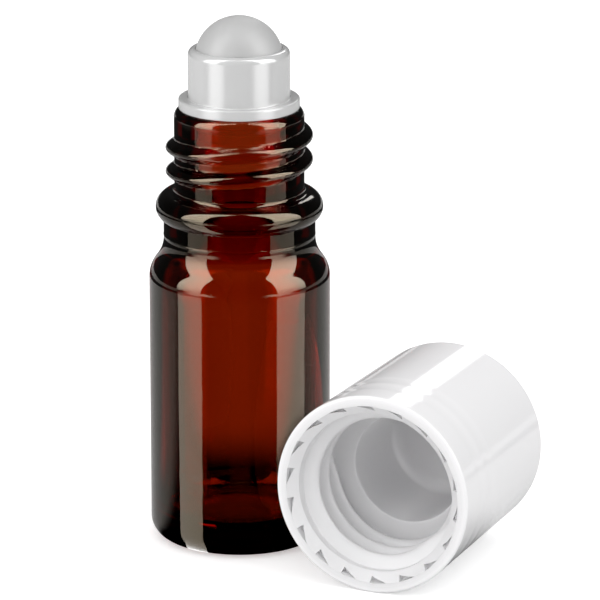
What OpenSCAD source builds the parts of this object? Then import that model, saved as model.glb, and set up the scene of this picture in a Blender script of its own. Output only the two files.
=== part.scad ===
// Roll-on bottle: a small screw-neck glass bottle, a press-in roller housing, the ball that
// it holds, and a one-piece screw cap that lies on its side next to the bottle.
// Millimetres, +Z up. The origin is the centre of the bottle's foot, on the surface that the
// bottle and the cap rest on. -Y is the front.

/* [Bottle body] */
// Outside diameter of the body
body_d = 22.2; // [21:0.1:30]
// Overall height of the glass, from the foot to the lip
glass_h = 54.5; // [42:0.5:90]
// Thickness of the body's wall
body_wall = 1.7; // [1.2:0.1:2.6]
// Thickness of the glass in the base
base_t = 3; // [1.8:0.1:5]
// Radius of the heel, between the body and the foot
heel_r = 2.4; // [1.5:0.1:3.4]
// Width of the ring that the bottle stands on
foot_ring_w = 1.5; // [1:0.1:2.5]
// Depth of the push-up inside that ring
punt_depth = 0.6; // [0.3:0.1:1.2]
// Radius of the corner between the wall and the base, inside
inner_heel_r = 2.6; // [1:0.1:4]
// Height in which the shoulder draws in from the body to the collar
shoulder_h = 5.1; // [4:0.1:9]

/* [Neck finish] */
// Diameter over the thread, which the cap's bore clears
thread_d = 18; // [16.4:0.1:19]
// Height of the thread, from the neck's wall to its crest
thread_depth = 1.05; // [0.8:0.05:1.3]
// Rise of the thread in one turn
thread_pitch = 3; // [2:0.05:4]
// Width of the wall left between two turns of the thread
thread_land = 0.3; // [0.1:0.05:0.8]
// Turns of the thread round the neck
thread_turns = 2; // [1:0.25:2.5]
// Distance from the lip down to the crest at the thread's upper end
thread_drop = 2.7; // [2:0.05:4]
// Thickness of the neck's wall between the bore and the thread
neck_wall = 2.65; // [2:0.05:3.2]
// Height from the top of the bead to the lip
neck_h = 10.65; // [8:0.05:14]
// How far the bead stands out from the collar below it
bead_step = 0.95; // [0.4:0.05:1.3]
// Height of the bead, which is round in section
bead_h = 3.5; // [2.6:0.1:4.4]
// Fillet between the top of the bead and the neck
bead_fillet_r = 0.5; // [0.2:0.1:0.8]
// How far the collar stands out from the neck
collar_step = 1.35; // [0.9:0.05:1.8]
// Height from the shoulder to the middle of the bead
collar_h = 3.8; // [2.5:0.1:6]
// Radius of the rounded lip
lip_r = 1.1; // [0.5:0.1:1.6]
// Chamfer at the mouth of the bore
bore_chamfer = 0.3; // [0.1:0.05:0.4]

/* [Roller housing] */
// How far the edge of the flange stops short of the neck's outside
flange_inset = 0.55; // [0.2:0.05:1]
// Thickness of the flange
flange_t = 1.25; // [0.8:0.05:1.6]
// Thickness of the cup's wall at the ball's equator
cup_wall = 0.75; // [0.65:0.05:1.2]
// How far the cup's rolled-in lip closes over the ball's equator
cup_grip = 1.5; // [1.2:0.05:1.8]
// Width of the flat left on the rolled-in lip
cup_lip_flat = 0.15; // [0.05:0.05:0.3]
// Height of the lowest point of the ball's socket over the top of the glass
cup_floor = 0.4; // [0.2:0.05:0.8]
// Length of the plug that goes down into the bore
plug_len = 7.5; // [5:0.1:10]
// Thickness of the plug's wall
plug_wall = 0.8; // [0.6:0.05:1.2]
// Radial gap between the plug and the bore, which the seal ribs close
plug_gap = 0.3; // [0.2:0.05:0.5]
// Running clearance between the seal ribs and the bore
rib_clear = 0.03; // [0.01:0.01:0.1]
// Radius of a seal rib's round section
rib_r = 0.45; // [0.35:0.05:0.7]
// Number of seal ribs
rib_count = 3; // [2:1:4]
// Thickness of the floor between the ball's seat and the plug
floor_t = 0.9; // [0.6:0.05:1.4]
// Diameter of the feed hole in the floor
feed_d = 3; // [2:0.1:3.4]
// Outside diameter of the ring that the ball seats on
seat_d = 7; // [6.2:0.1:7.6]
// Height of the seat ring over the floor of the well
seat_h = 0.7; // [0.4:0.05:0.9]
// Number of flow notches through the seat ring
notch_count = 4; // [3:1:8]
// Width of a flow notch
notch_w = 0.8; // [0.5:0.05:1.2]

/* [Roller ball] */
// Diameter of the ball
ball_d = 10.85; // [10:0.05:12]
// Running clearance between the ball and its socket
ball_clear = 0.06; // [0.02:0.01:0.1]

/* [Cap] */
// Radial clearance between the cap's bore and the neck's thread
cap_clear = 0.9; // [0.1:0.05:1.2]
// Thickness of the wall at the mouth
cap_wall = 2.4; // [2:0.1:4]
// Draft of the outside: how much smaller its radius is at the closed end
cap_draft = 0.3; // [0:0.05:1]
// Length of the cap
cap_len = 26.8; // [25:0.1:34]
// Radius of the edge round the closed end
cap_end_r = 0.9; // [0.4:0.1:2]
// Radius of the outer edge of the mouth
cap_rim_r = 0.35; // [0.1:0.05:0.6]
// Thickness of the closed end
cap_end_t = 2; // [1.2:0.1:3]
// Gap between the mouth and the bead when the cap is screwed down onto the roller's flange
cap_stand = 0.1; // [0.1:0.05:1]
// Radial clearance between the roller's cup and the chamber above the ledge
chamber_clear = 0.65; // [0.4:0.05:0.8]
// Radius of the edge between the ledge and the chamber
chamber_edge_r = 0.2; // [0.1:0.05:0.3]
// Radius of the corner between the chamber and the closed end, inside
cap_inner_r = 1.6; // [0.5:0.1:3]
// Height of the cap's thread over its bore
cap_thread_depth = 1.55; // [0.5:0.05:1.8]
// Turns of the cap's thread
cap_thread_turns = 2.6; // [1:0.05:2.8]
// Depth in the cap of the crest at the thread's end nearest the mouth
cap_thread_start = 2.45; // [2:0.05:4]
// Angle of that end, round from the cap's lower side
cap_thread_phase = -92; // [-180:1:180]
// Width of the mouth's flat rim, outside the lead-in cone
cap_rim_w = 1.25; // [1.1:0.05:1.5]
// Depth of the lead-in cone, from the flat rim to the bore
cap_lead_in = 1.2; // [0.5:0.1:1.6]
// Number of sawtooth pockets round the mouth
pocket_count = 18; // [8:1:24]
// Distance of the pockets from the outside of the mouth
pocket_inset = 1.2; // [1:0.05:1.3]
// Radial width of a pocket at its square end
pocket_w = 0.7; // [0.4:0.05:0.9]
// Length of a pocket, from its square end to its point
pocket_len = 2.1; // [1.2:0.1:2.5]
// Depth of a pocket
pocket_depth = 1.2; // [0.5:0.1:3]
// Angle of the first pocket's square end, round from the cap's lower side
pocket_phase = 0.5; // [0:0.5:20]

/* [Cap's place beside the bottle] */
// Direction that the closed end points in, from +X towards +Y
cap_heading = 67; // [40:1:89]
// Gap between the bottle's body and the cap's side
cap_gap = 0.2; // [0.1:0.1:20]
// How far the mouth reaches forward of the point nearest the bottle
cap_forward = 14.5; // [0:0.5:24]

/* [Hidden] */

// Facets of a full turn, and steps in a profile's arc
turn_fn = 120;
arc_steps = 10;
// How far a cut runs past the face that it opens
cut_over = 1;
// Sections of the thread in a full turn, and steps from its crest down to its foot
thread_fn = 24;
thread_steps = 3;
// How deep the thread's foot is sunk into the wall that carries it
thread_sink = 0.2;
// Turns in which the thread rises to its full height, and the share that it starts with
thread_lead_turns = 0.15;
thread_end_share = 0.1;

// Share of the shoulder's two arcs that is the outer one, outside and inside
shoulder_share = 0.45;
bore_shoulder_share = 0.5;
// Share of the flange's thickness that its rounded edge takes
flange_edge_share = 0.2;
// Share of the socket's radius that the well round the seat ring reaches
well_share = 0.92;
// Share of a pocket's width that its point stands in from the pocket's outer edge
pocket_point_share = 0.25;

amber_glass = [0.36, 0.11, 0.03];
white_plastic = [0.93, 0.93, 0.94];
grey_plastic = [0.76, 0.76, 0.76];

body_r = body_d / 2;
cavity_r = body_r - body_wall;
thread_r = thread_d / 2;
neck_r = thread_r - thread_depth;
bore_r = neck_r - neck_wall;
collar_r = neck_r + collar_step;
bead_r = bead_h / 2;
bead_centre_r = collar_r + bead_step - bead_r;

// Heights from the foot: the neck finish hangs from the lip, and the body takes the rest
bead_z = glass_h - neck_h - bead_r;
collar_z = bead_z - collar_h;
shoulder_z = collar_z - shoulder_h;

ball_r = ball_d / 2;
socket_r = ball_r + ball_clear;
ball_rise = cup_floor + socket_r;
cup_r = socket_r + cup_wall;
cup_h = ball_rise + cup_grip;
cup_opening_r = sqrt(pow(socket_r, 2) - pow(cup_grip, 2));
cup_lip_r = cup_r - cup_opening_r - cup_lip_flat;
flange_r = neck_r - flange_inset;
flange_edge_r = flange_edge_share * flange_t;
well_r = well_share * socket_r;
plug_r = bore_r - plug_gap;
plug_tip = plug_wall / 2;
rib_centre_r = bore_r - rib_clear - rib_r;
seat_top = cup_floor + floor_t;

cap_bore_r = thread_r + cap_clear;
cap_mouth_r = cap_bore_r + cap_wall;
cap_end_outer_r = cap_mouth_r - cap_draft;
cap_tilt = atan(cap_draft / cap_len);
cap_lead_r = cap_mouth_r - cap_rim_w;
cap_ledge = neck_h + flange_t - cap_stand;
chamber_r = cup_r + chamber_clear;
pocket_r = cap_mouth_r - pocket_inset;

// Points of an arc about a centre, from one angle to another
function arc(centre, r, from, to) =
    [for (i = [0:arc_steps])
        let (a = from + (to - from) * i / arc_steps)
        centre + r * [cos(a), sin(a)]];

// Points of an S from one upright wall to a narrower one above it: two arcs that meet at
// one slope, of which share says how much of their radius the lower arc has
function s_curve(low, high, share) =
    let (slope = 2 * atan((low[0] - high[0]) / (high[1] - low[1])),
         radii = (high[1] - low[1]) / sin(slope),
         low_r = share * radii,
         high_r = radii - low_r)
    concat(arc(low - [low_r, 0], low_r, 0, slope),
           arc(high + [high_r, 0], high_r, 180 + slope, 180));

// The screw thread: a rounded ridge that climbs round a wall of radius r, right-handed.
// It stands outwards for side 1 and inwards for side -1.

// Points of the ridge's section, from its lower foot over the crest, where it has a share of
// its full height
function thread_section(r, side, depth, height_share) =
    [for (i = [-thread_steps:thread_steps])
        let (across = i / thread_steps,
             height = (depth + thread_sink) * height_share * (1 - pow(across, 2)))
        [r + side * (height - thread_sink), side * across * (thread_pitch - thread_land) / 2]];

// Share of the full height at one place on the way round
function thread_share(turned, turns) =
    max(thread_end_share, min(1, turned / thread_lead_turns, (turns - turned) / thread_lead_turns));

module screw_thread(r, side, depth, turns) {
    sections = round(turns * thread_fn);
    count = 2 * thread_steps + 1;
    points = [
        for (i = [0:sections])
            let (turned = turns * i / sections)
            for (p = thread_section(r, side, depth, thread_share(turned, turns)))
                [p[0] * cos(360 * turned), p[0] * sin(360 * turned), p[1] + thread_pitch * turned]];
    sides = [
        for (i = [0:sections - 1])
            for (j = [0:count - 1])
                let (low = i * count + j,
                     high = i * count + (j + 1) % count)
                [low, high, high + count, low + count]];
    ends = [
        [for (j = [count - 1:-1:0]) j],
        [for (j = [0:count - 1]) sections * count + j]];
    polyhedron(points, concat(sides, ends));
}

// The glass bottle

function foot_outer_r() = body_r - heel_r;
function foot_inner_r() = foot_outer_r() - foot_ring_w;

// Angle on the bead's section where the collar runs into it
function bead_start() = -acos((collar_r - bead_centre_r) / bead_r);

// Points of the push-up in the base, a shallow dome inside the foot ring
function punt() =
    let (r = (pow(foot_inner_r(), 2) + pow(punt_depth, 2)) / (2 * punt_depth),
         half = asin(foot_inner_r() / r))
    arc([0, punt_depth - r], r, 90, 90 - half);

function bottle_outside() = concat(
    punt(),
    arc([foot_outer_r(), heel_r], heel_r, -90, 0),
    s_curve([body_r, shoulder_z], [collar_r, collar_z], shoulder_share),
    arc([bead_centre_r, bead_z], bead_r, bead_start(), 90),
    arc([neck_r + bead_fillet_r, bead_z + bead_r + bead_fillet_r], bead_fillet_r, 270, 180),
    arc([neck_r - lip_r, glass_h - lip_r], lip_r, 0, 90),
    [[0, glass_h]]);

function bottle_inside() = concat(
    [[0, base_t]],
    arc([cavity_r - inner_heel_r, base_t + inner_heel_r], inner_heel_r, -90, 0),
    s_curve([cavity_r, shoulder_z - body_wall], [bore_r, bead_z], bore_shoulder_share),
    [[bore_r, glass_h - bore_chamfer],
     [bore_r + bore_chamfer + cut_over, glass_h + cut_over],
     [0, glass_h + cut_over]]);

// The neck's thread, with its upper end at the back of the neck
module neck_thread() {
    translate([0, 0, glass_h - thread_drop - thread_turns * thread_pitch])
        rotate([0, 0, 90 - 360 * thread_turns])
            screw_thread(neck_r, 1, thread_depth, thread_turns);
}

module glass_bottle() {
    color(amber_glass)
        union() {
            rotate_extrude($fn = turn_fn)
                difference() {
                    polygon(bottle_outside());
                    polygon(bottle_inside());
                }
            neck_thread();
        }
}

// The roller housing: a plug for the bore, a flange for the lip and a cup for the ball,
// moulded in one. Its own zero is the flange's underside.

function housing_outside() = concat(
    [[0, -plug_len],
     [plug_r - plug_tip, -plug_len],
     [plug_r, plug_tip - plug_len],
     [plug_r, 0],
     [flange_r, 0]],
    arc([flange_r - flange_edge_r, flange_t - flange_edge_r], flange_edge_r, 0, 90),
    [[cup_r, flange_t]],
    arc([cup_r - cup_lip_r, cup_h - cup_lip_r], cup_lip_r, 0, 90),
    [[0, cup_h]]);

// Rings round the plug that close the gap to the bore
module seal_ribs() {
    rib_pitch = plug_len / (rib_count + 1);
    for (i = [1:rib_count])
        translate([rib_centre_r, -i * rib_pitch])
            circle(r = rib_r, $fn = turn_fn);
}

// The well round the seat ring, up to where the socket is as wide
module well() {
    well_top = ball_rise - sqrt(pow(socket_r, 2) - pow(well_r, 2));
    translate([0, 0, seat_top - seat_h])
        difference() {
            cylinder(h = well_top - seat_top + seat_h, r = well_r, $fn = turn_fn);
            translate([0, 0, -cut_over])
                cylinder(h = seat_h + cut_over, d = seat_d, $fn = turn_fn);
        }
}

// Notches that let the liquid through the seat ring into the well
module flow_notches() {
    for (i = [0:notch_count - 1])
        rotate([0, 0, i * 360 / notch_count])
            translate([0, -notch_w / 2, seat_top - seat_h])
                cube([seat_d / 2 + notch_w, notch_w, seat_h + cut_over]);
}

// A round hole of one radius, from under the plug up to a height over the flange's underside
module plug_bore(r, top) {
    translate([0, 0, -plug_len - cut_over])
        cylinder(h = plug_len + cut_over + top, r = r, $fn = turn_fn);
}

module roller_housing() {
    color(white_plastic)
        translate([0, 0, glass_h])
            difference() {
                rotate_extrude($fn = turn_fn) {
                    polygon(housing_outside());
                    seal_ribs();
                }
                translate([0, 0, ball_rise])
                    sphere(r = socket_r, $fn = turn_fn);
                well();
                flow_notches();
                plug_bore(plug_r - plug_wall, cup_floor - floor_t);
                plug_bore(feed_d / 2, seat_top);
            }
}

module roller_ball() {
    color(grey_plastic)
        translate([0, 0, glass_h + ball_rise])
            sphere(r = ball_r, $fn = turn_fn);
}

// The screw cap. Its own zero is the middle of the mouth, and its closed end points up.

function cap_outside() = concat(
    [[0, 0]],
    arc([cap_mouth_r - cap_rim_r, cap_rim_r], cap_rim_r, -90, 0),
    arc([cap_end_outer_r - cap_end_r, cap_len - cap_end_r], cap_end_r, 0, 90),
    [[0, cap_len]]);

// How much the lead-in cone widens over a height
function lead_in_width(height) = height * (cap_lead_r - cap_bore_r) / cap_lead_in;

// A lead-in cone, the threaded bore, the ledge that closes on the roller's flange, and the
// chamber over the ball
function cap_inside() = concat(
    [[0, -cut_over],
     [cap_lead_r + lead_in_width(cut_over), -cut_over],
     [cap_bore_r, cap_lead_in],
     [cap_bore_r, cap_ledge]],
    arc([chamber_r + chamber_edge_r, cap_ledge + chamber_edge_r], chamber_edge_r, 270, 180),
    arc([chamber_r - cap_inner_r, cap_len - cap_end_t - cap_inner_r], cap_inner_r, 0, 90),
    [[0, cap_len - cap_end_t]]);

// One sawtooth pocket in the rim: square at one end, drawn to a point at the other
module pocket() {
    translate([0, 0, -cut_over])
        linear_extrude(height = pocket_depth + cut_over)
            polygon([
                [pocket_r - pocket_w, 0],
                [pocket_r, 0],
                [pocket_r - pocket_point_share * pocket_w, -pocket_len]]);
}

module cap_thread() {
    translate([0, 0, cap_thread_start])
        rotate([0, 0, cap_thread_phase])
            screw_thread(cap_bore_r, -1, cap_thread_depth, cap_thread_turns);
}

module cap_body() {
    difference() {
        rotate_extrude($fn = turn_fn)
            difference() {
                polygon(cap_outside());
                polygon(cap_inside());
            }
        for (i = [0:pocket_count - 1])
            rotate([0, 0, pocket_phase + i * 360 / pocket_count])
                pocket();
    }
    cap_thread();
}

// Lays the cap on its side with the mouth to the front, its drafted side clear of the body
module beside_bottle() {
    aside = cap_mouth_r + (body_r + cap_gap - cap_forward * sin(cap_tilt)) / cos(cap_tilt);
    side = [sin(cap_heading), -cos(cap_heading)] * aside;
    back = [cos(cap_heading), sin(cap_heading)] * cap_forward;
    translate([side[0] - back[0], side[1] - back[1], cap_mouth_r * cos(cap_tilt)])
        rotate([0, 90 + cap_tilt, cap_heading])
            children();
}

module screw_cap() {
    color(white_plastic)
        beside_bottle()
            cap_body();
}

glass_bottle();
roller_housing();
roller_ball();
screw_cap();
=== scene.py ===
"""Looks of a roll-on bottle: an amber glass bottle with a screw neck, the white housing that
holds its ball, and the white screw cap that lies beside it.

The pieces are turned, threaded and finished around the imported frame, in metres.
"""

import math

import bmesh
import bpy
from bpy.props import FloatProperty, FloatVectorProperty, IntProperty, PointerProperty
from mathutils import Matrix, Vector


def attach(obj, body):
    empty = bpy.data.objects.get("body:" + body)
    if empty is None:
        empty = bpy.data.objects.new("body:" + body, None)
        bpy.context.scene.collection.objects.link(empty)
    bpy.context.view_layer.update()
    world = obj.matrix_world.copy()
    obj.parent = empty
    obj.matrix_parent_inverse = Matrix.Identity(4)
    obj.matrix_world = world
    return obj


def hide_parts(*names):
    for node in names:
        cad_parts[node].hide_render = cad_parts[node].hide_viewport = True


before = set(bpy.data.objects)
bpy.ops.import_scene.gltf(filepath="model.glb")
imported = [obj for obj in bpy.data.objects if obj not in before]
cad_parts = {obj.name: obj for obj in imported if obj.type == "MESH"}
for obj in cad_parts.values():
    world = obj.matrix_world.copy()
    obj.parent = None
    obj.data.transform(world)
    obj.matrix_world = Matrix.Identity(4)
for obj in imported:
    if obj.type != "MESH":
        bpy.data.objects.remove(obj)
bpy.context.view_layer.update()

bl_info = {
    "name": "Roll-on bottle",
    "version": (1, 0, 0),
    "blender": (4, 5, 0),
    "location": "3D View > Sidebar > Roll-on",
    "description": "Amber glass roll-on bottle with its roller and screw cap",
    "category": "Object",
}

MM = 0.001
WHITE = (1, 1, 1, 1)
THREAD = "thread"  # Attribute: how much of the thread's height a point takes
INSIDE = "inside"  # Attribute: 1 on the cap's inside
FINISH = "finished_"  # Begins the names of the materials made here

# Fineness of the meshes
BOTTLE_STEPS = 256  # Round the glass
ROLLER_STEPS = 192  # Round the housing and the ball
POCKET_STEPS = 16  # Round one pocket's share of the cap
BALL_ROWS = 96  # From pole to pole
GLASS_STEP = 1.5 * MM  # Up a straight wall of the glass
NECK_STEP = 0.11 * MM  # Up the wall that bears the neck's thread
BORE_STEP = 0.12 * MM  # Up the wall that bears the cap's thread
SAME_POINT = 1e-6  # Points closer than this are merged


def length(name, millimetres, description):
    """A length property, whose default is given in millimetres."""
    return FloatProperty(
        name=name, description=description, default=millimetres * MM, unit="LENGTH", precision=5
    )


def angle(name, degrees, description):
    """An angle property, whose default is given in degrees."""
    return FloatProperty(
        name=name, description=description, default=math.radians(degrees), unit="ROTATION"
    )


def colour(name, value, description):
    """A colour property, in linear light."""
    return FloatVectorProperty(
        name=name, description=description, default=value, size=3, min=0, max=1, subtype="COLOR"
    )


def share(name, value, description):
    """A property from 0 to 1."""
    return FloatProperty(
        name=name, description=description, default=value, min=0, max=1, subtype="FACTOR"
    )


def turns(name, value, description):
    """A property in turns about the axis."""
    return FloatProperty(name=name, description=description, default=value, precision=3)


def number(name, value, description):
    """A property that is a plain number, such as a brightness."""
    return FloatProperty(name=name, description=description, default=value)


def several(name, values, description, unit="NONE"):
    """A property of several numbers, which its description names in order."""
    return FloatVectorProperty(
        name=name, description=description, default=values, size=len(values), unit=unit
    )


def how_many(name, value, description, least=1):
    """A property that counts."""
    return IntProperty(name=name, description=description, default=value, min=least)


# Sizes


class ThreadSettings(bpy.types.PropertyGroup):
    """The screw thread that the neck and the cap share."""

    pitch: length("Pitch", 3.0, "Rise of the thread in one turn")
    depth: length("Depth", 1.05, "Height of the neck's thread over its wall")
    width: length("Width", 2.0, "Width of the neck's ridge at its foot")
    cap_width: length("Cap width", 2.5, "Width of the cap's ridge at its foot")
    blend: length("Blend", 0.3, "Height over which a ridge's foot runs into the wall")
    crest: length("First crest", 51.05, "Height of the neck's first crest, on the right")
    start: turns("Start", 0.27, "Where the neck's thread begins, in turns up from that crest")
    end: turns("End", -1.77, "Where the neck's thread ends")
    lead: turns("Lead", 0.14, "Turns in which a ridge fades in and out")
    cap_depth: length("Cap depth", 1.55, "Height of the cap's thread over its bore")
    cap_crest: length("Cap crest", 3.2, "Depth of the first crest in the cap, at its lower side")
    cap_start: turns("Cap start", 2.34, "Where the cap's thread begins, towards the closed end")
    cap_end: turns("Cap end", -0.26, "Where the cap's thread ends, towards the mouth")
    sink: share("Sink", 0.02, "Share of the cap's thread that shows as sink marks outside")


class BottleSettings(bpy.types.PropertyGroup):
    """The glass bottle."""

    body_radius: length("Body radius", 11.1, "Outside radius of the body")
    height: length("Height", 54.5, "Height of the glass")
    wall: length("Wall", 1.7, "Thickness of the body's wall")
    base: length("Base", 3.0, "Thickness of the base")
    heel: length("Heel", 2.4, "Radius of the heel")
    foot_width: length("Foot width", 1.5, "Width of the ring that the bottle stands on")
    punt: length("Push-up", 0.6, "Depth of the push-up in the base")
    inner_heel: length("Inner heel", 2.6, "Radius between wall and base, inside")
    shoulder: length("Shoulder", 5.1, "Height of the shoulder")
    collar_radius: length("Collar radius", 9.3, "Radius of the collar under the bead")
    collar: length("Collar", 3.8, "Height from the shoulder to the middle of the bead")
    bead_radius: length("Bead radius", 10.25, "Largest radius of the bead")
    bead: length("Bead height", 3.5, "Height of the bead")
    bead_fillet: length("Bead fillet", 0.5, "Fillet between bead and neck")
    neck_radius: length("Neck radius", 7.95, "Radius of the neck's wall under the thread")
    neck: length("Neck", 10.65, "Height from the bead to the lip")
    bore: length("Bore", 5.3, "Radius of the neck's bore")
    lip: length("Lip", 1.1, "Radius of the lip's edge")
    bore_chamfer: length("Bore chamfer", 0.3, "Chamfer at the mouth of the bore")
    seam: length("Parting line", 0.03, "Height of the mould's parting lines")


class RollerSettings(bpy.types.PropertyGroup):
    """The roller housing and its ball."""

    flange_radius: length("Flange radius", 7.4, "Radius of the flange on the lip")
    flange: length("Flange", 1.25, "Thickness of the flange")
    ball_radius: length("Ball radius", 5.425, "Radius of the ball")
    clearance: length("Clearance", 0.06, "Gap between the ball and its socket")
    cup_wall: length("Cup wall", 0.75, "Thickness of the cup at the ball's equator")
    cup_grip: length("Cup grip", 1.5, "How far the lip closes over the ball's equator")
    lip_flat: length("Lip flat", 0.15, "Flat left on the rolled-in lip")
    floor_rise: length("Socket rise", 0.4, "Height of the socket's lowest point over the lip")
    floor: length("Floor", 0.9, "Thickness of the floor under the ball")
    plug_length: length("Plug length", 7.5, "Length of the plug in the bore")
    plug_radius: length("Plug radius", 5.0, "Outside radius of the plug")
    plug_wall: length("Plug wall", 0.8, "Thickness of the plug's wall")
    rib: length("Seal rib", 0.45, "Radius of a seal rib's section")
    rib_reach: length("Rib reach", 5.27, "Radius that the seal ribs reach")
    rib_count: how_many("Seal ribs", 3, "Number of seal ribs")
    feed: length("Feed hole", 1.5, "Radius of the feed hole")
    seat_radius: length("Seat radius", 3.5, "Radius of the ring that the ball seats on")
    seat: length("Seat", 0.7, "Height of that ring")
    well_radius: length("Well radius", 5.046, "Radius of the well round the seat")
    notch_count: how_many("Notches", 4, "Number of flow notches in the seat ring")
    notch_width: length("Notch width", 0.8, "Width of a flow notch")


class CapSettings(bpy.types.PropertyGroup):
    """The screw cap and its place beside the bottle."""

    mouth_radius: length("Mouth radius", 12.3, "Outside radius at the mouth")
    draft: length("Draft", 0.3, "How much smaller the radius is at the closed end")
    length: length("Length", 26.8, "Length of the cap")
    end_edge: length("End edge", 0.9, "Radius of the edge round the closed end")
    rim_edge: length("Rim edge", 0.35, "Radius of the mouth's outer edge")
    bore: length("Bore", 9.9, "Radius of the bore")
    end_wall: length("End wall", 2.0, "Thickness of the closed end")
    ledge: length("Ledge", 11.8, "Depth of the ledge that closes on the roller's flange")
    chamber: length("Chamber", 6.885, "Radius of the chamber over the ball")
    chamber_edge: length("Chamber edge", 0.2, "Radius between the ledge and the chamber")
    inner_edge: length("Inner edge", 1.6, "Radius between the chamber and the closed end")
    rim_width: length("Rim width", 1.25, "Width of the mouth's flat rim")
    lead_in: length("Lead-in", 1.2, "Depth of the lead-in cone")
    pocket_count: how_many("Pockets", 18, "Number of pockets in the rim", 3)
    pocket_outer: length("Pocket radius", 11.1, "Radius of a pocket's outer edge")
    pocket_width: length("Pocket width", 0.7, "Width of a pocket at its square end")
    pocket_depth: length("Pocket depth", 1.2, "Depth of a pocket")
    pocket_phase: angle("Pocket phase", 0.5, "Angle of the first pocket from the lower side")
    gap: length("Gap", 0.2, "Gap between the bottle and the cap")
    forward: length("Forward", 14.5, "How far the mouth reaches forward of the bottle's axis")
    heading: angle("Heading", 67, "Direction that the closed end points in")


class FinishSettings(bpy.types.PropertyGroup):
    """Colours and surfaces."""

    glass_passes: colour("Glass", (0.845, 0.42, 0.0), "Colour that the glass lets through")
    glass_density: number("Glass density", 2000, "Absorption of the glass, a metre")
    housing: colour("Housing", (0.64, 0.64, 0.64), "Colour of the roller housing")
    # Painted glow: a share of the plug's white becomes emission, standing in for light carried
    # through the translucent plastic
    painted_glow: share("Painted Glow", 0.45, "Share of the plug's white that is light carried down to it")
    painted_glow_top: length("Glow top", 54.4, "Height under which the housing glows")
    ball: colour("Ball", (0.51, 0.51, 0.51), "Colour of the ball")
    cap: colour("Cap", (0.95, 0.945, 0.955), "Colour of the cap")
    # Painted shade: the cap's inside is given a darker colour than its outside
    cap_inside_shade: share("Cap inside", 0.86, "Share of that colour that the satin inside has")
    cap_gloss: several(
        "Cap roughness",
        (0.09, 0.45),
        "Roughness of the cap outside, where it is glossy, and inside, where it is satin",
    )


class StageSettings(bpy.types.PropertyGroup):
    """Floor, backdrop, lamps and camera."""

    floor: colour("Floor", (0.82, 0.82, 0.82), "Colour of the floor")
    floor_size: length("Floor size", 1600, "Width of the floor")
    floor_lift: share("Floor lift", 0.45, "Light added to the floor that the camera sees")
    backdrop: share("Backdrop", 0.45, "Level of what shows through the glass")
    # Painted shadow: the floor seen through the glass stays dark near the bottle's axis, where its
    # shadow falls
    under: several(
        "Under the bottle",
        (0.024, 0.046),
        "From where to where, out from its axis, the floor seen through it lights up",
        "LENGTH",
    )
    cards: several(
        "Cards",
        (0.16, 0.27, 0.76, 0.92),
        "Sideways shares of direction at which the dark cards beside the backdrop begin, are "
        "full, begin to end and have ended",
    )
    surround: share("Surround", 0.62, "Level of the pale card round the bottle that it mirrors")
    surround_up: share("Upper surround", 0.03, "Level that is mirrored above and beyond that card")
    surround_far: share("Far surround", 0.65, "Level that is mirrored from far off, low down")
    card: several(
        "Card",
        (0.128, 0.136),
        "From where to where, out from the bottle's axis, that card darkens",
        "LENGTH",
    )
    cut_out: several(
        "Cut-out",
        (0.030, -0.003, 0.026, 0.038),
        "Middle, inner and outer radius of the round cut-out in the soft boxes' light under the "
        "cap",
        "LENGTH",
    )
    far_boxes: several(
        "Far soft boxes",
        (26, 78, 18),
        "Inner and outer sides of the far soft boxes, in degrees from the front, and the width "
        "of their soft edges",
    )
    far_level: number("Far soft box level", 3.8, "Brightness of those, where 1 is white")
    far_begin: several(
        "Far begins",
        (0.21, 0.222),
        "From where to where, out from the bottle's axis, the far part lights up",
        "LENGTH",
    )
    dark_front: several(
        "Dark front",
        (-0.3, 0.02),
        "Shares of direction, front to back, between which the surround lights up",
    )
    left_box: several(
        "Left soft box",
        (-86, -48.5, 1.5),
        "Its outer and inner sides, in degrees from the front, to the right, and the width of "
        "its soft edges",
    )
    right_box: several(
        "Right soft box",
        (48, 93, 1.5),
        "Its inner and outer sides, in degrees from the front, to the right, and the width of "
        "its soft edges",
    )
    box_levels: several(
        "Soft box levels",
        (3.0, 1.1, 8.5),
        "Brightness of the soft boxes on the card, just beyond it and high up, where 1 is white",
    )
    box_rise: several(
        "Soft box rise",
        (-0.15, 0.4),
        "Heights of direction between which the soft boxes reach their brightness high up",
    )
    back_box: several(
        "Back light",
        (160, 173, 2),
        "Sides of the light strip high up at the back, in degrees from the front, to the right, "
        "and the width of its soft edges",
    )
    back_heights: several(
        "Back light heights",
        (0.3, 0.65, 0.05),
        "Heights of direction that the strip lies between, and the width of its soft ends",
    )
    back_level: number("Back light level", 3.4, "Brightness of that strip, where 1 is white")
    sky: several("Sky", (0.5, 1.2), "Levels of the soft light, near the horizon and overhead")
    lamps: several("Lamps", (1.35, 0.4), "Brightness of the left and right lamp; 1 is white")
    camera_distance: length("Camera distance", 600, "From the camera to its target")
    camera_elevation: angle("Camera elevation", 16.5, "Height of the camera over the horizon")
    view_width: length("View width", 73.8, "Width that the picture shows at the target")
    target: several("Target", (0.0074, 0.0, 0.0300), "Point in the picture's middle", "LENGTH")


# Profiles: lists of (radius, height, share of the thread) from the axis outwards


def arc(centre, radius, start, end, steps=16):
    """Points of an arc about a centre, from one angle to another, in degrees."""
    angles = [math.radians(start + (end - start) * i / steps) for i in range(steps + 1)]
    return [
        (centre[0] + radius * math.cos(a), centre[1] + radius * math.sin(a), 0) for a in angles
    ]


def line(start, end, step=0.5 * MM, thread=0):
    """Points of a straight wall, no more than a step apart."""
    run = math.dist(start, end)
    count = max(1, math.ceil(run / step))
    return [
        (
            start[0] + (end[0] - start[0]) * i / count,
            start[1] + (end[1] - start[1]) * i / count,
            thread,
        )
        for i in range(count + 1)
    ]


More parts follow.
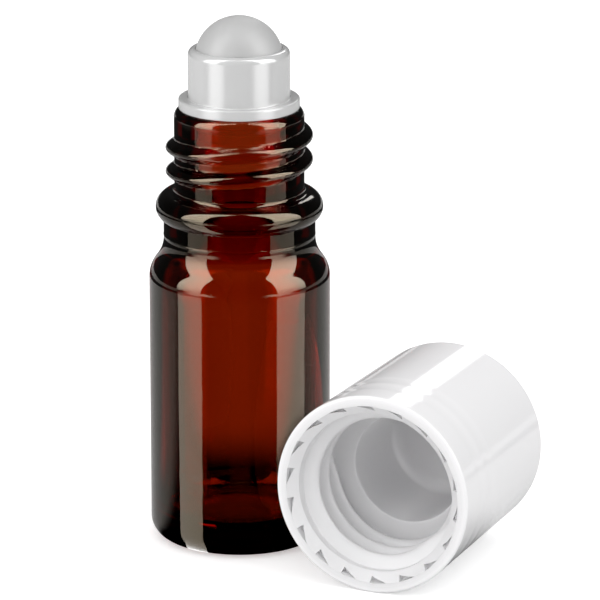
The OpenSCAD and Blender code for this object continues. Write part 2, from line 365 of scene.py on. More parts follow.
def s_curve(low, high, lower_share):
    """An S of two arcs from one upright wall to a narrower one above it."""
    rise = high[1] - low[1]
    slope = 2 * math.atan((low[0] - high[0]) / rise)
    radii = rise / math.sin(slope)
    lower = lower_share * radii
    upper = radii - lower
    slope = math.degrees(slope)
    return arc((low[0] - lower, low[1]), lower, 0, slope) + arc(
        (high[0] + upper, high[1]), upper, 180 + slope, 180
    )


def joined(*runs):
    """The runs of a profile in one list, without a point that repeats the one before."""
    points = []
    for run in runs:
        for point in run:
            if not points or math.dist(point[:2], points[-1][:2]) > 1e-7:
                points.append(point)
    return points


def turned(name, profile, steps, closed=False):
    """An object turned about Z from a profile, which is a closed ring or runs from pole to pole."""
    points, shares, rows = [], [], []
    for radius, height, thread in profile:
        if radius < 1e-9:
            rows.append([len(points)] * steps)
            points.append((0, 0, height))
            shares.append(0)
            continue
        rows.append(list(range(len(points), len(points) + steps)))
        for i in range(steps):
            angle = 2 * math.pi * i / steps
            points.append((radius * math.cos(angle), radius * math.sin(angle), height))
            shares.append(thread)
    faces = []
    ends = rows[1:] + rows[:1] if closed else rows[1:]
    for low, high in zip(rows, ends):
        for i in range(steps):
            j = (i + 1) % steps
            corners = dict.fromkeys((low[i], low[j], high[j], high[i]))
            if len(corners) > 2:
                faces.append(tuple(corners))
    mesh = bpy.data.meshes.new(name)
    mesh.from_pydata(points, [], faces)
    mesh.attributes.new(THREAD, "FLOAT", "POINT").data.foreach_set("value", shares)
    return link(name, mesh)


def link(name, mesh):
    """A new object in the scene that shows a mesh."""
    piece = bpy.data.objects.new(name, mesh)
    bpy.context.scene.collection.objects.link(piece)
    return piece


def tidy(piece, sharp=32):
    """Merges a piece's doubles, takes its loose edges away, points its faces outwards and
    keeps its crisp edges sharp."""
    work = bmesh.new()
    work.from_mesh(piece.data)
    bmesh.ops.remove_doubles(work, verts=work.verts, dist=SAME_POINT)
    bmesh.ops.dissolve_degenerate(work, edges=work.edges, dist=SAME_POINT / 10)
    loose = [edge for edge in work.edges if not edge.link_faces]
    bmesh.ops.delete(work, geom=loose, context="EDGES")
    bmesh.ops.recalc_face_normals(work, faces=work.faces)
    for face in work.faces:
        face.smooth = True
    work.to_mesh(piece.data)
    work.free()
    piece.data.validate()
    piece.data.set_sharp_from_angle(angle=math.radians(sharp))


def add_to(piece, other):
    """Adds another object's mesh to a piece, and removes that object."""
    work = bmesh.new()
    work.from_mesh(piece.data)
    work.from_mesh(other.data)
    work.to_mesh(piece.data)
    work.free()
    bpy.data.objects.remove(other)


# Nodes


class Nodes:
    """The nodes of one tree, put in by calls."""

    def __init__(self, tree):
        self.nodes = tree.nodes
        self.links = tree.links

    def put(self, socket, value):
        """Sets a socket to a value, or links another node's output to it."""
        if isinstance(value, bpy.types.NodeSocket):
            self.links.new(value, socket)
        else:
            socket.default_value = value

    def node(self, kind, settings=None, **inputs):
        """A new node with its settings and inputs; a name's _ stands for a space."""
        node = self.nodes.new(kind)
        for key, value in (settings or {}).items():
            setattr(node, key, value)
        for key, value in inputs.items():
            self.put(node.inputs[key.replace("_", " ")], value)
        return node

    def math(self, operation, *values):
        """The result of a Math node."""
        node = self.node("ShaderNodeMath", {"operation": operation})
        for socket, value in zip(node.inputs, values):
            self.put(socket, value)
        return node.outputs[0]

    def scaled(self, vector, scale):
        """A vector or a colour times a number."""
        settings = {"operation": "SCALE"}
        return self.node("ShaderNodeVectorMath", settings, Vector=vector, Scale=scale).outputs[0]

    def split(self, vector):
        """The X, Y and Z of a vector."""
        return self.node("ShaderNodeSeparateXYZ", Vector=vector).outputs

    def ramp(self, value, start, end, low=0.0, high=1.0):
        """Eased from low at start to high at end."""
        settings = {"interpolation_type": "SMOOTHSTEP"}
        limits = {"From_Min": start, "From_Max": end, "To_Min": low, "To_Max": high}
        return self.node("ShaderNodeMapRange", settings, Value=value, **limits).outputs[0]

    def mixed(self, share, first, second):
        """The first shader where a share is 0, and the second where it is 1."""
        node = self.node("ShaderNodeMixShader")
        for socket, value in zip(node.inputs, (share, first, second)):
            self.put(socket, value)
        return node.outputs[0]


class Group(Nodes):
    """A node group in the making, with its inputs and outputs by name."""

    def __init__(self, name, inputs, kind="GeometryNodeTree", outputs=()):
        self.tree = bpy.data.node_groups.new(name, kind)
        super().__init__(self.tree)
        if kind == "GeometryNodeTree":
            self.tree.is_modifier = True
            inputs = (("Geometry", "NodeSocketGeometry"),) + tuple(inputs)
            outputs = (("Geometry", "NodeSocketGeometry"),)
        for name, socket in inputs:
            self.tree.interface.new_socket(name, in_out="INPUT", socket_type=socket)
        for name, socket in outputs:
            self.tree.interface.new_socket(name, in_out="OUTPUT", socket_type=socket)
        self.given = self.nodes.new("NodeGroupInput").outputs
        self.result = self.nodes.new("NodeGroupOutput").inputs


def thread_tree():
    """Raises a wall turned about Z into a right-hand screw thread, where its points ask for it."""
    names = ("Pitch", "Depth", "Width", "Blend", "Crest", "Start", "End", "Lead")
    made = Group(
        "Screw Thread",
        [(name, "NodeSocketFloat") for name in names] + [("Material", "NodeSocketMaterial")],
    )
    math_, given = made.math, made.given
    x, y, z = made.split(made.node("GeometryNodeInputPosition").outputs[0])
    around = math_("DIVIDE", math_("ARCTAN2", y, x), 2 * math.pi)
    climbed = math_(
        "SUBTRACT", math_("DIVIDE", math_("SUBTRACT", z, given["Crest"]), given["Pitch"]), around
    )
    turn = math_("ROUND", climbed)
    off_crest = math_("MULTIPLY", math_("SUBTRACT", climbed, turn), given["Pitch"])
    travelled = math_("ADD", around, turn)
    lead = given["Lead"]
    fade_in = made.ramp(travelled, given["End"], math_("ADD", given["End"], lead))
    fade_out = made.ramp(travelled, given["Start"], math_("SUBTRACT", given["Start"], lead))
    there = math_("MULTIPLY", fade_in, fade_out)
    across = math_("DIVIDE", off_crest, math_("DIVIDE", given["Width"], 2))
    hump = math_("SUBTRACT", 1, math_("MULTIPLY", across, across))
    ridge = math_("MULTIPLY", math_("MULTIPLY", given["Depth"], there), hump)
    sunk = math_("MULTIPLY", math_("SUBTRACT", 1, there), given["Blend"])
    height = math_("SMOOTH_MAX", math_("SUBTRACT", ridge, sunk), 0, given["Blend"])
    asked = made.node("GeometryNodeInputNamedAttribute", {"data_type": "FLOAT"}, Name=THREAD)
    asked = next(s for s in asked.outputs if s.enabled and s.name == "Attribute")
    level = made.node("ShaderNodeCombineXYZ", X=x, Y=y).outputs[0]
    outward = made.node("ShaderNodeVectorMath", {"operation": "NORMALIZE"}, Vector=level)
    offset = made.scaled(outward.outputs[0], math_("MULTIPLY", height, asked))
    moved = made.node("GeometryNodeSetPosition", Geometry=given["Geometry"], Offset=offset)
    return close_tree(made, moved.outputs[0])


def ring_tree():
    """Repeats a sector round Z."""
    inputs = [("Count", "NodeSocketInt"), ("Material", "NodeSocketMaterial")]
    made = Group("Ring Of Pockets", inputs)
    turned_copies = copies(made, made.given["Geometry"])
    merged = made.node("GeometryNodeMergeByDistance", Geometry=turned_copies, Distance=SAME_POINT)
    return close_tree(made, merged.outputs[0])


def notch_tree():
    """Cuts a cutter out of a piece at equal angles round Z."""
    made = Group(
        "Flow Notches",
        [
            ("Cutter", "NodeSocketObject"),
            ("Count", "NodeSocketInt"),
            ("Material", "NodeSocketMaterial"),
        ],
    )
    cutter = made.node("GeometryNodeObjectInfo", Object=made.given["Cutter"])
    settings = {"operation": "DIFFERENCE", "solver": "EXACT"}
    cut = made.node("GeometryNodeMeshBoolean", settings)
    made.put(cut.inputs["Mesh 1"], made.given["Geometry"])
    made.put(cut.inputs["Mesh 2"], copies(made, cutter.outputs["Geometry"]))
    return close_tree(made, cut.outputs[0])


def copies(made, shape):
    """Copies of a shape at Count equal angles round Z, as one mesh."""
    points = made.node("GeometryNodePoints", Count=made.given["Count"])
    step = made.math("DIVIDE", 2 * math.pi, made.given["Count"])
    index = made.node("GeometryNodeInputIndex").outputs[0]
    angle = made.node("ShaderNodeCombineXYZ", Z=made.math("MULTIPLY", index, step))
    placed = made.node(
        "GeometryNodeInstanceOnPoints",
        Points=points.outputs[0],
        Instance=shape,
        Rotation=angle.outputs[0],
    )
    return made.node("GeometryNodeRealizeInstances", Geometry=placed.outputs[0]).outputs[0]


def close_tree(made, geometry):
    """Ends a tree with real geometry in the given material."""
    real = made.node("GeometryNodeRealizeInstances", Geometry=geometry)
    dressed = made.node(
        "GeometryNodeSetMaterial", Geometry=real.outputs[0], Material=made.given["Material"]
    )
    made.put(made.result["Geometry"], dressed.outputs[0])
    return made.tree


def run_tree(piece, tree, **inputs):
    """Gives a piece the mesh that a tree makes of it; a name's _ stands for a space."""
    modifier = piece.modifiers.new(tree.name, "NODES")
    modifier.node_group = tree
    sockets = {s.name: s.identifier for s in tree.interface.items_tree if s.in_out == "INPUT"}
    for key, value in inputs.items():
        modifier[sockets[key.replace("_", " ")]] = value
    bpy.context.view_layer.update()
    seen = piece.evaluated_get(bpy.context.evaluated_depsgraph_get())
    mesh = bpy.data.meshes.new_from_object(seen)
    piece.modifiers.remove(modifier)
    piece.data = mesh


# Finishes


def moulded_group():
    """What moulded surfaces share: a slight unevenness of colour and shine, ripple and grain."""
    numbers = ("Shade", "Roughness", "Unevenness", "Ripple", "Ripple Scale", "Grain", "Grain Scale")
    made = Group(
        "Moulded Surface",
        [("Colour", "NodeSocketColor")] + [(name, "NodeSocketFloat") for name in numbers],
        "ShaderNodeTree",
        (
            ("Colour", "NodeSocketColor"),
            ("Roughness", "NodeSocketFloat"),
            ("Height", "NodeSocketFloat"),
        ),
    )
    math_, given = made.math, made.given
    place = made.node("ShaderNodeTexCoord").outputs["Object"]
    cloud_share = 0.6  # Of the ripple's scale

    def noise(scale, detail):
        values = {"Scale": scale, "Detail": detail, "Roughness": 0.5}
        return made.node("ShaderNodeTexNoise", Vector=place, **values).outputs[0]

    ripple = noise(given["Ripple Scale"], 2.0)
    clouds = noise(math_("MULTIPLY", given["Ripple Scale"], cloud_share), 4.0)
    grain = noise(given["Grain Scale"], 3.0)
    darker = math_("MULTIPLY", given["Shade"], math_("SUBTRACT", 1, clouds))
    tint = made.scaled(given["Colour"], math_("SUBTRACT", 1, darker))
    uneven = math_("MULTIPLY", given["Unevenness"], math_("SUBTRACT", clouds, 0.5))
    height = math_(
        "ADD", math_("MULTIPLY", ripple, given["Ripple"]), math_("MULTIPLY", grain, given["Grain"])
    )
    made.put(made.result["Colour"], tint)
    made.put(made.result["Roughness"], math_("ADD", given["Roughness"], uneven))
    made.put(made.result["Height"], height)
    return made.tree


class Finish(Nodes):
    """A material with one Principled shader, built up by calls."""

    def __init__(self, slot):
        self.material = bpy.data.materials.new(FINISH + slot)
        self.material.use_nodes = True
        super().__init__(self.material.node_tree)
        self.shader = self.nodes["Principled BSDF"]
        self.output = self.nodes["Material Output"]

    def set(self, **values):
        """Sets the shader's own sockets; a name's _ stands for a space."""
        for key, value in values.items():
            self.shader.inputs[key.replace("_", " ")].default_value = value

    def moulded(self, group, tint, **values):
        """Feeds the shader from the moulded surface group, its height through a Bump node."""
        surface = self.node("ShaderNodeGroup", {"node_tree": group}, Colour=(*tint, 1), **values)
        bump = self.node("ShaderNodeBump", Distance=1, Height=surface.outputs["Height"])
        self.put(self.shader.inputs["Base Color"], surface.outputs["Colour"])
        self.put(self.shader.inputs["Roughness"], surface.outputs["Roughness"])
        self.put(self.shader.inputs["Normal"], bump.outputs[0])
        return surface

    def between(self, share, low, high):
        """From low where a share is 0 to high where it is 1."""
        return self.node("ShaderNodeMapRange", Value=share, To_Min=low, To_Max=high).outputs[0]


def finish_glass(group, settings):
    """Amber glass, which lets light by in the shadow it throws."""
    glass = Finish("amber_glass")
    glass.set(Transmission_Weight=1, IOR=1.52, Specular_Tint=(1, 0.83, 0.6, 1))
    glass.moulded(
        group,
        (1, 1, 1),
        Shade=0.0,
        Roughness=0.01,
        Unevenness=0.01,
        Ripple=0.00002,
        Ripple_Scale=160,
        Grain=0.0,
        Grain_Scale=900,
    )
    shadow = glass.node("ShaderNodeLightPath").outputs["Is Shadow Ray"]
    let_by = glass.node("ShaderNodeBsdfTransparent", Color=WHITE).outputs[0]
    surface = glass.mixed(shadow, glass.shader.outputs[0], let_by)
    glass.put(glass.output.inputs["Surface"], surface)
    body = glass.node(
        "ShaderNodeVolumeAbsorption",
        Color=(*settings.glass_passes, 1),
        Density=settings.glass_density,
    )
    glass.put(glass.output.inputs["Volume"], body.outputs[0])


def finish_housing(group, settings):
    """White plastic that is glossy, with a painted glow: emission on the plug stands in for light
    the translucent plastic carries down into it.
    """
    housing = Finish("white_housing_plastic")
    housing.set(IOR=1.49, Coat_Weight=1, Coat_Roughness=0.03, Emission_Strength=1)
    surface = housing.moulded(
        group,
        settings.housing,
        Shade=0.03,
        Roughness=0.22,
        Unevenness=0.06,
        Ripple=0.00001,
        Ripple_Scale=220,
        Grain=0.0000006,
        Grain_Scale=9000,
    )
    # Painted glow: below a height the housing's colour is partly emission, with no lamp inside it
    painted_glow_node = housing.node(
        "ShaderNodeGroup",
        {"node_tree": painted_glow_group()},
        Colour=surface.outputs["Colour"],
        Top=settings.painted_glow_top,
        Share=settings.painted_glow,
    )
    housing.put(housing.shader.inputs["Base Color"], painted_glow_node.outputs["Colour"])
    housing.put(housing.shader.inputs["Emission Color"], painted_glow_node.outputs["Painted Glow"])


def painted_glow_group():
    """Painted glow: below a height, a share of the colour becomes emission, standing in for light
    that the translucent plastic carries down from the cup into the plug in the neck.
    """
    made = Group(
        "Painted Glow Group",
        [("Colour", "NodeSocketColor"), ("Top", "NodeSocketFloat"), ("Share", "NodeSocketFloat")],
        "ShaderNodeTree",
        (("Colour", "NodeSocketColor"), ("Painted Glow", "NodeSocketColor")),
    )
    given = made.given
    fade = 0.3 * MM
    height = made.split(made.node("ShaderNodeTexCoord").outputs["Object"])["Z"]
    below = made.ramp(height, given["Top"], made.math("SUBTRACT", given["Top"], fade))
    painted_share = made.math("MULTIPLY", below, given["Share"])
    left = made.math("SUBTRACT", 1, painted_share)
    made.put(made.result["Painted Glow"], made.scaled(given["Colour"], painted_share))
    made.put(made.result["Colour"], made.scaled(given["Colour"], left))
    return made.tree


def finish_ball(group, settings):
    """Satin grey plastic."""
    ball = Finish("grey_ball_plastic")
    ball.set(IOR=1.5)
    ball.moulded(
        group,
        settings.ball,
        Shade=0.05,
        Roughness=0.48,
        Unevenness=0.08,
        Ripple=0.000004,
        Ripple_Scale=300,
        Grain=0.000003,
        Grain_Scale=7000,
    )


def finish_cap(group, settings):
    """White plastic, glossy outside and satin inside, where its colour is darker as painted shade.
    """
    cap = Finish("white_cap_plastic")
    cap.set(IOR=1.49, Specular_IOR_Level=0.3)
    surface = cap.moulded(
        group,
        settings.cap,
        Shade=0.02,
        Unevenness=0.05,
        Ripple=0.000015,
        Ripple_Scale=150,
        Grain=0.0000004,
        Grain_Scale=9000,
    )
    inside = cap.node("ShaderNodeAttribute", {"attribute_name": INSIDE}).outputs["Fac"]
    # Painted shade: the cap's inside takes a darker share of its white
    tint = cap.scaled(settings.cap, cap.between(inside, 1.0, settings.cap_inside_shade))
    cap.put(surface.inputs["Colour"], tint)
    cap.put(surface.inputs["Roughness"], cap.between(inside, *settings.cap_gloss))


def make_finishes(settings):
    """All the object's materials, each under its slot's name."""
    group = moulded_group()
    for finish in (finish_glass, finish_housing, finish_ball, finish_cap):
        finish(group, settings)


def finish_for(context, slot):
    """The material for a slot, made with all the others at first use."""
    if FINISH + slot not in bpy.data.materials:
        make_finishes(context.scene.rollon_finish)
    return bpy.data.materials[FINISH + slot]


def dress(piece, body, node, slot):
    """Hands a finished piece to the frame."""
    material = finish_for(bpy.context, slot)
    piece.data.materials.clear()
    piece.data.materials.append(material)
    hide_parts(node)
    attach(piece, body)


# Pieces


def bottle_profile(s):
    """The glass in section: up the outside, over the lip, and down the inside."""
    foot = s.body_radius - s.heel
    inner_foot = foot - s.foot_width
    dome = (inner_foot**2 + s.punt**2) / (2 * s.punt)
    half = math.degrees(math.asin(inner_foot / dome))
    bead = s.bead / 2
    bead_centre = s.bead_radius - bead
    bead_z = s.height - s.neck - bead
    collar_z = bead_z - s.collar
    shoulder_z = collar_z - s.shoulder
    start = -math.degrees(math.acos((s.collar_radius - bead_centre) / bead))
    bead_foot = bead_z + bead * math.sin(math.radians(start))
    neck_foot = bead_z + bead + s.bead_fillet
    lip_z = s.height - s.lip
    seam_half = 0.09 * MM
    collar_seam = collar_z + 0.3 * MM
    over_seam = collar_z + 0.5 * MM
    lip_seam = lip_z + 0.1 * MM
    outside = joined(
        arc((0, s.punt - dome), dome, 90, 90 - half),
        line((inner_foot, 0), (foot, 0)),
        arc((foot, s.heel), s.heel, -90, 0),
        line((s.body_radius, s.heel), (s.body_radius, shoulder_z), GLASS_STEP),
        s_curve((s.body_radius, shoulder_z), (s.collar_radius, collar_z), 0.45),
        parting(s.collar_radius, collar_seam, s.seam, seam_half),
        line((s.collar_radius, over_seam), (s.collar_radius, bead_foot), 0.2 * MM),
        arc((bead_centre, bead_z), bead, start, 90, 28),
        arc((s.neck_radius + s.bead_fillet, neck_foot), s.bead_fillet, 270, 180, 10),
        line((s.neck_radius, neck_foot), (s.neck_radius, lip_z), NECK_STEP, 1),
        parting(s.neck_radius, lip_seam, s.seam, seam_half),
        arc((s.neck_radius - s.lip, lip_z), s.lip, 12, 90, 16),
        line((s.neck_radius - s.lip, s.height), (s.bore + s.bore_chamfer, s.height)),
    )
    cavity = s.body_radius - s.wall
    heel_r = cavity - s.inner_heel
    inside = joined(
        line((0, s.base), (heel_r, s.base)),
        arc((heel_r, s.base + s.inner_heel), s.inner_heel, -90, 0),
        line((cavity, s.base + s.inner_heel), (cavity, shoulder_z - s.wall), GLASS_STEP),
        s_curve((cavity, shoulder_z - s.wall), (s.bore, bead_z), 0.5),
        line((s.bore, bead_z), (s.bore, s.height - s.bore_chamfer), GLASS_STEP),
    )
    return joined(outside, reversed(inside))


def parting(radius, height, proud, half):
    """The fine ridge where two parts of a mould meet."""
    return [(radius, height - half, 0), (radius + proud, height, 0), (radius, height + half, 0)]


def housing_profile(s):
    """The housing in section, from the inside of the plug's tip round to the plug's bore."""
    socket = s.ball_radius + s.clearance
    centre_z = s.floor_rise + socket
    cup = socket + s.cup_wall
    top = centre_z + s.cup_grip
    mouth = math.sqrt(socket**2 - s.cup_grip**2)
    lip = cup - mouth - s.lip_flat
    edge = 0.2 * s.flange
    under_edge = 0.08 * MM
    fillet = 0.12 * MM
    bore = s.plug_radius - s.plug_wall
    tip = s.plug_wall / 2
    rib_r = s.rib_reach - s.rib
    rib_half = math.degrees(math.acos((s.plug_radius - rib_r) / s.rib))
    runs = [
        line((bore, -s.plug_length), (s.plug_radius - tip, -s.plug_length)),
        line((s.plug_radius - tip, -s.plug_length), (s.plug_radius, tip - s.plug_length)),
    ]
    low = tip - s.plug_length
    for i in range(s.rib_count, 0, -1):
        z = -i * s.plug_length / (s.rib_count + 1)
        reach = s.rib * math.sin(math.radians(rib_half))
        runs.append(line((s.plug_radius, low), (s.plug_radius, z - reach)))
        runs.append(arc((rib_r, z), s.rib, -rib_half, rib_half))
        low = z + reach
    seat_top = s.floor_rise + s.floor
    seat_foot = seat_top - s.seat
    seat_inner = math.sqrt(socket**2 - (centre_z - seat_top) ** 2)
    underside = s.floor_rise - s.floor

    def socket_angle(radius):
        """Angle at which the lower half of the socket has a radius."""
        return -math.degrees(math.acos(radius / socket))

    def socket_z(radius):
        """Height at which it does."""
        return centre_z - math.sqrt(socket**2 - radius**2)

    runs += [
        line((s.plug_radius, low), (s.plug_radius, 0)),
        line((s.plug_radius, 0), (s.flange_radius - under_edge, 0)),
        arc((s.flange_radius - under_edge, under_edge), under_edge, -90, 0, 4),
        line((s.flange_radius, under_edge), (s.flange_radius, s.flange - edge), 0.1 * MM),
        arc((s.flange_radius - edge, s.flange - edge), edge, 0, 90, 8),
        line((s.flange_radius - edge, s.flange), (cup + fillet, s.flange), 0.1 * MM),
        arc((cup + fillet, s.flange + fillet), fillet, 270, 180, 6),
        line((cup, s.flange + fillet), (cup, top - lip), 0.3 * MM),
        arc((cup - lip, top - lip), lip, 0, 90),
        line((cup - lip, top), (mouth, top), 0.05 * MM),
        arc((0, centre_z), socket, -socket_angle(mouth), socket_angle(s.well_radius), 40),
        line((s.well_radius, socket_z(s.well_radius)), (s.well_radius, seat_foot)),
        line((s.well_radius, seat_foot), (s.seat_radius, seat_foot)),
        line((s.seat_radius, seat_foot), (s.seat_radius, seat_top)),
        line((s.seat_radius, seat_top), (seat_inner, seat_top)),
        arc((0, centre_z), socket, socket_angle(seat_inner), socket_angle(s.feed)),
        line((s.feed, socket_z(s.feed)), (s.feed, underside)),
        line((s.feed, underside), (bore, underside)),
        line((bore, underside), (bore, -s.plug_length)),
    ]
    profile = joined(*runs)
    return profile[:-1]


def notch_cutter(s):
    """A bar that cuts one flow notch from the feed hole out into the well."""
    seat_top = s.floor_rise + s.floor
    half = s.notch_width / 2
    over_well = 0.04 * MM
    low = Vector((s.feed / 2, -half, seat_top - s.seat + over_well))
    high = Vector((s.seat_radius + half, half, seat_top + s.seat))
    mesh = bpy.data.meshes.new("notch_cutter")
    work = bmesh.new()
    size = Matrix.Diagonal((*(high - low), 1))
    bmesh.ops.create_cube(work, size=1, matrix=Matrix.Translation((low + high) / 2) @ size)
    work.to_mesh(mesh)
    work.free()
    return link("notch_cutter", mesh)


def cap_profile(s, sink):
    """The cap in section, from the rim's outer edge over the closed end to the bore's mouth."""
    end = s.mouth_radius - s.draft
    top = s.length - s.end_wall
    corner = 0.25 * MM
    gate = 1.1 * MM
    gate_floor = s.length - 0.25 * MM
    nub = 0.35 * MM
    outside = joined(
        arc((s.mouth_radius - s.rim_edge, s.rim_edge), s.rim_edge, -90, 0, 10),
        line((s.mouth_radius, s.rim_edge), (end, s.length - s.end_edge), 0.3 * MM, -sink),
        arc((end - s.end_edge, s.length - s.end_edge), s.end_edge, 0, 90),
        line((end - s.end_edge, s.length), (gate, s.length)),
        arc((gate, gate_floor), corner, 90, 180, 6),
        line((gate - corner, gate_floor), (nub, gate_floor)),
        [(0.3 * MM, s.length - 0.12 * MM, 0), (0, s.length - 0.1 * MM, 0)],
    )
    inner = sector_inner(s)
    inside = joined(
        [(0, top, 0)],
        line((0, top), (s.chamber - s.inner_edge, top)),
        arc((s.chamber - s.inner_edge, top - s.inner_edge), s.inner_edge, 90, 0),
        line((s.chamber, top - s.inner_edge), (s.chamber, s.ledge + s.chamber_edge)),
        arc((s.chamber + s.chamber_edge, s.ledge + s.chamber_edge), s.chamber_edge, 180, 270, 6),
        line((s.chamber + s.chamber_edge, s.ledge), (s.bore - corner, s.ledge)),
        arc((s.bore - corner, s.ledge - corner), corner, 90, 0, 6),
        line((s.bore, s.ledge - corner), (s.bore, s.lead_in), BORE_STEP, -1),
        line((s.bore, s.lead_in), (inner, lead_in_depth(s, inner))),
    )
    return outside + inside


def sector_inner(s):
    """Radius on the lead-in cone where the pockets' ring begins, clear of the pockets."""
    clear = 1.4
    return s.pocket_outer - clear * s.pocket_width


def lead_in_depth(s, radius):
    """Depth of the mouth's surface at a radius: the flat rim, and the lead-in cone inside it."""
    rim = s.mouth_radius - s.rim_width
    return max(0, rim - radius) / (rim - s.bore) * s.lead_in


def pocket_sector(s, steps):
    """One pocket and its share of the mouth, from the lead-in cone to the rim's outer edge."""
    inner, outer = sector_inner(s), s.mouth_radius - s.rim_edge
    corner = s.mouth_radius - s.rim_width
    near = s.pocket_outer - s.pocket_width
    angle = 2 * math.pi / s.pocket_count / steps
    pocket_share = 0.55  # Of the sector, from a pocket's square end to its point
    pointed = round(steps * pocket_share)
    points, faces = [], []

    def row(i, *radii, sunk=0.0):
        """New points on one line from the axis, on the mouth's surface or sunk below it."""
        a = -i * angle
        first = len(points)
        for r in radii:
            points.append((r * math.cos(a), r * math.sin(a), sunk or lead_in_depth(s, r)))
        return list(range(first, len(points)))

    def face(*corners):
        """A face, whose corners may repeat."""
        faces.append(tuple(dict.fromkeys(corners)))

    def edges(i):
        """Radii of a pocket's inner and outer edge, which run together in its point."""
        done = i / pointed
        return near + (corner - near) * done, s.pocket_outer + (corner - s.pocket_outer) * done

    cut = []
    for i in range(pointed):
        upper = row(i, inner, *edges(i), outer)
        cut.append((upper, row(i, *edges(i), sunk=s.pocket_depth)))
    tip = row(pointed, inner, corner, outer)
    deep = row(pointed, corner, sunk=s.pocket_depth)
    cut.append(([tip[0], tip[1], tip[1], tip[2]], [deep[0], deep[0]]))
    for ((a, b, c, d), (m, n)), ((e, f, g, h), (o, p)) in zip(cut, cut[1:]):
        face(a, e, f, b)
        face(c, g, h, d)
        face(b, f, o, m)
        face(m, o, p, n)
        face(n, p, g, c)
    (_, b, c, _), (m, n) = cut[0]
    middle = row(0, corner)[0]
    face(b, m, n, c, middle)
    for i in range(pointed, steps):
        if i < steps - 1:
            after = row(i + 1, inner, corner, outer)
            face(tip[0], after[0], after[1], tip[1])
            face(tip[1], after[1], after[2], tip[2])
            tip = after
        else:
            e, f, k, g, h = row(steps, inner, near, corner, s.pocket_outer, outer)
            face(tip[0], e, f, k, tip[1])
            face(tip[1], k, g, h, tip[2])
    mesh = bpy.data.meshes.new("pocket_sector")
    mesh.from_pydata(points, [], faces)
    return link("pocket_sector", mesh)


def cap_place(s, bottle):
    """From the cap's own frame, mouth at zero and closed end up, to its place on the floor."""
    tilt = math.atan(s.draft / s.length)
    along = Vector((math.cos(s.heading), math.sin(s.heading)))
    side = Vector((along.y, -along.x))
    clear = bottle.body_radius + s.gap - s.forward * math.sin(tilt)
    mouth = side * (s.mouth_radius + clear / math.cos(tilt)) - along * s.forward
    move = Matrix.Translation((mouth.x, mouth.y, s.mouth_radius * math.cos(tilt)))
    turn = Matrix.Rotation(s.heading, 4, "Z")
    return move @ turn @ Matrix.Rotation(math.radians(90) + tilt, 4, "Y")


def mark_inside(piece, s):
    """Marks the points of the cap's inside, while it stands mouth down at the origin."""
    margin = 0.1 * MM
    rim = s.mouth_radius - s.rim_width + margin
    top = s.length - s.end_wall + margin
    shares = [
        float(math.hypot(point.co.x, point.co.y) < rim and point.co.z < top)
        for point in piece.data.vertices
    ]
    piece.data.attributes.new(INSIDE, "FLOAT", "POINT").data.foreach_set("value", shares)


class MakeBottle(bpy.types.Operator):
    """Turns the glass bottle and raises its screw thread"""

    bl_idname = "rollon.bottle"
    bl_label = "Glass bottle"

    def execute(self, context):
        s, t = context.scene.rollon_bottle, context.scene.rollon_thread
        piece = turned("amber_glass_bottle", bottle_profile(s), BOTTLE_STEPS)
        run_tree(
            piece,
            thread_tree(),
            Pitch=t.pitch,
            Depth=t.depth,
            Width=t.width,
            Blend=t.blend,
            Crest=t.crest,
            Start=t.start,
            End=t.end,
            Lead=t.lead,
            Material=finish_for(context, "amber_glass"),
        )
        tidy(piece)
        dress(piece, "bottle", "glass_bottle", "amber_glass")
        return {"FINISHED"}


class MakeHousing(bpy.types.Operator):
    """Turns the roller housing and cuts its flow notches"""

    bl_idname = "rollon.housing"
    bl_label = "Roller housing"

    def execute(self, context):
        s = context.scene.rollon_roller
        profile = housing_profile(s)
        piece = turned("white_roller_housing", profile, ROLLER_STEPS, closed=True)
        tidy(piece)
        cutter = notch_cutter(s)
        run_tree(
            piece,
            notch_tree(),
            Cutter=cutter,
            Count=s.notch_count,
            Material=finish_for(context, "white_housing_plastic"),
        )
        bpy.data.objects.remove(cutter)
        tidy(piece)
        piece.data.transform(Matrix.Translation((0, 0, context.scene.rollon_bottle.height)))
        dress(piece, "housing", "roller_housing", "white_housing_plastic")
        return {"FINISHED"}


class MakeBall(bpy.types.Operator):
    """Makes the ball that turns in the housing"""

    bl_idname = "rollon.ball"
    bl_label = "Roller ball"

    def execute(self, context):
        s = context.scene.rollon_roller
        profile = arc((0, 0), s.ball_radius, -90, 90, BALL_ROWS)
        piece = turned("grey_roller_ball", profile, ROLLER_STEPS)
        tidy(piece)
        rise = context.scene.rollon_bottle.height + s.floor_rise + s.clearance + s.ball_radius
        lean = Matrix.Rotation(math.radians(70), 4, "Y")  # Its poles lie out of sight
        piece.data.transform(Matrix.Translation((0, 0, rise)) @ lean)
        dress(piece, "ball", "roller_ball", "grey_ball_plastic")
        return {"FINISHED"}


class MakeCap(bpy.types.Operator):
    """Turns the screw cap with its thread, and repeats the pockets round its rim"""

    bl_idname = "rollon.cap"
    bl_label = "Screw cap"

    def execute(self, context):
        s, t = context.scene.rollon_cap, context.scene.rollon_thread
        material = finish_for(context, "white_cap_plastic")
        profile = cap_profile(s, t.sink)
        piece = turned("white_screw_cap", profile, s.pocket_count * POCKET_STEPS)
        piece.data.transform(Matrix.Rotation(s.pocket_phase, 4, "Z"))
        run_tree(
            piece,
            thread_tree(),
            Pitch=t.pitch,
            Depth=t.cap_depth,
            Width=t.cap_width,
            Blend=t.blend,
            Crest=t.cap_crest,
            Start=t.cap_start,
            End=t.cap_end,
            Lead=t.lead,
            Material=material,
        )
        sector = pocket_sector(s, POCKET_STEPS)
        sector.data.transform(Matrix.Rotation(s.pocket_phase, 4, "Z"))
        run_tree(sector, ring_tree(), Count=s.pocket_count, Material=material)
        add_to(piece, sector)
        tidy(piece)
        mark_inside(piece, s)
        piece.data.transform(cap_place(s, context.scene.rollon_bottle))
        piece.visible_glossy = False  # The glass mirrors the soft boxes alone
        dress(piece, "cap", "screw_cap", "white_cap_plastic")
        return {"FINISHED"}


# Stage


